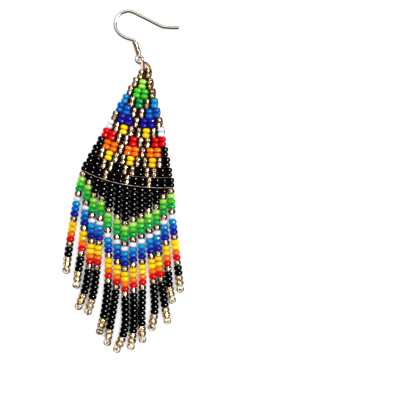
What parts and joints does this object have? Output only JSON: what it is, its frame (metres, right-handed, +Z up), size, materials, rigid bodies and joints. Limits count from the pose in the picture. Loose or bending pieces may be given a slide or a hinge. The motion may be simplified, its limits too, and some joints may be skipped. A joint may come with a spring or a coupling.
{
  "type": "beaded tassel earring",
  "caption": "Drop earring lying flat: a stitched triangle of seed beads with a fringe of bead strands, tied by thread to the eye of a fish-hook ear wire.",
  "frame": {"origin": "on the surface that the earring lies on, under the middle of its outline", "axes": "+X to the right and +Y towards the ear wire, both in the surface; +Z up, out of the earring's front face"},
  "size_m": [0.035, 0.0995, 0.0022],
  "materials": {
    "gilt_wire": "polished, pale rose gilt",
    "thread": "waxed beading thread",
    "seed_beads": "glossy opaque glass seed beads in bands of colour, with metallic gold beads"
  },
  "bodies": {
    "root": {"ear_wire": "gilt_wire", "coil": "gilt_wire", "hanging_loop": "thread", "bead_panel": "seed_beads", "strand_01": "seed_beads", "strand_02": "seed_beads", "strand_03": "seed_beads", "strand_04": "seed_beads", "strand_05": "seed_beads", "strand_06": "seed_beads", "strand_07": "seed_beads", "strand_08": "seed_beads", "strand_09": "seed_beads", "strand_10": "seed_beads", "strand_11": "seed_beads", "strand_12": "seed_beads", "strand_13": "seed_beads"}
  },
  "joints": []
}
